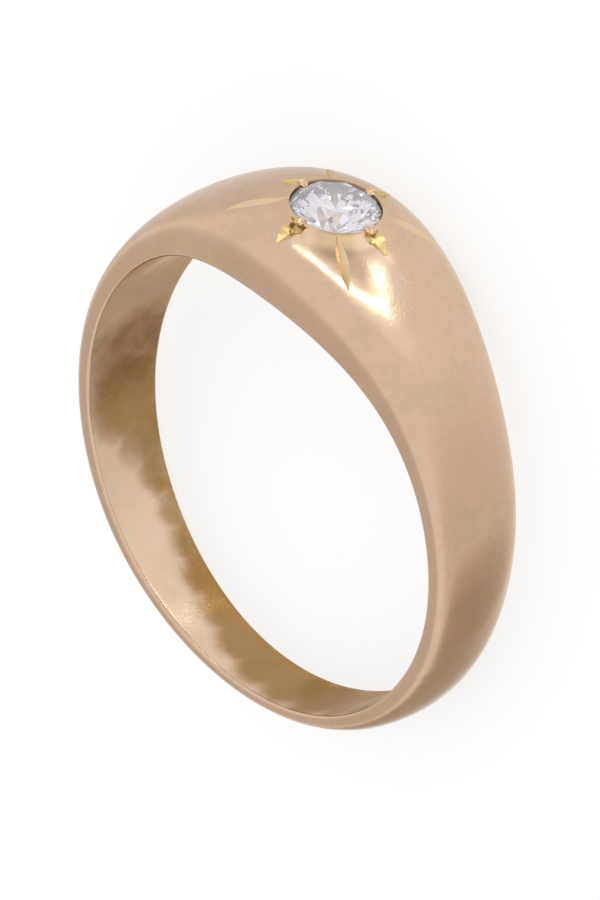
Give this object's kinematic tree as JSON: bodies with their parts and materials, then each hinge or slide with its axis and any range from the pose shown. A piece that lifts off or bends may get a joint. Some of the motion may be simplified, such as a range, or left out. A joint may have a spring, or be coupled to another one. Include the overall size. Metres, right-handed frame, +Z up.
{
  "type": "flush set gypsy ring",
  "caption": "Domed gold finger ring lying on its side, wide at the crown, with a round brilliant set flush in an engraved star.",
  "frame": {"origin": "bottom centre of the ring as it lies on its side: z = 0 is the surface that it rests on, and the middle of its length and breadth is over the origin", "axes": "+Z up, 6.4 degrees off the finger bore's axis because the crown is wider than the back; -Y towards the stone; +Y towards the thin back, along the ring's longest extent; X across the ring"},
  "size_m": [0.02, 0.0218, 0.0068],
  "materials": {
    "gold": "worn satin polish, pale rose-yellow gold",
    "stone": "polished facets, near colourless with a cool cast"
  },
  "bodies": {
    "root": {"band": "gold", "diamond": "stone"}
  },
  "joints": []
}
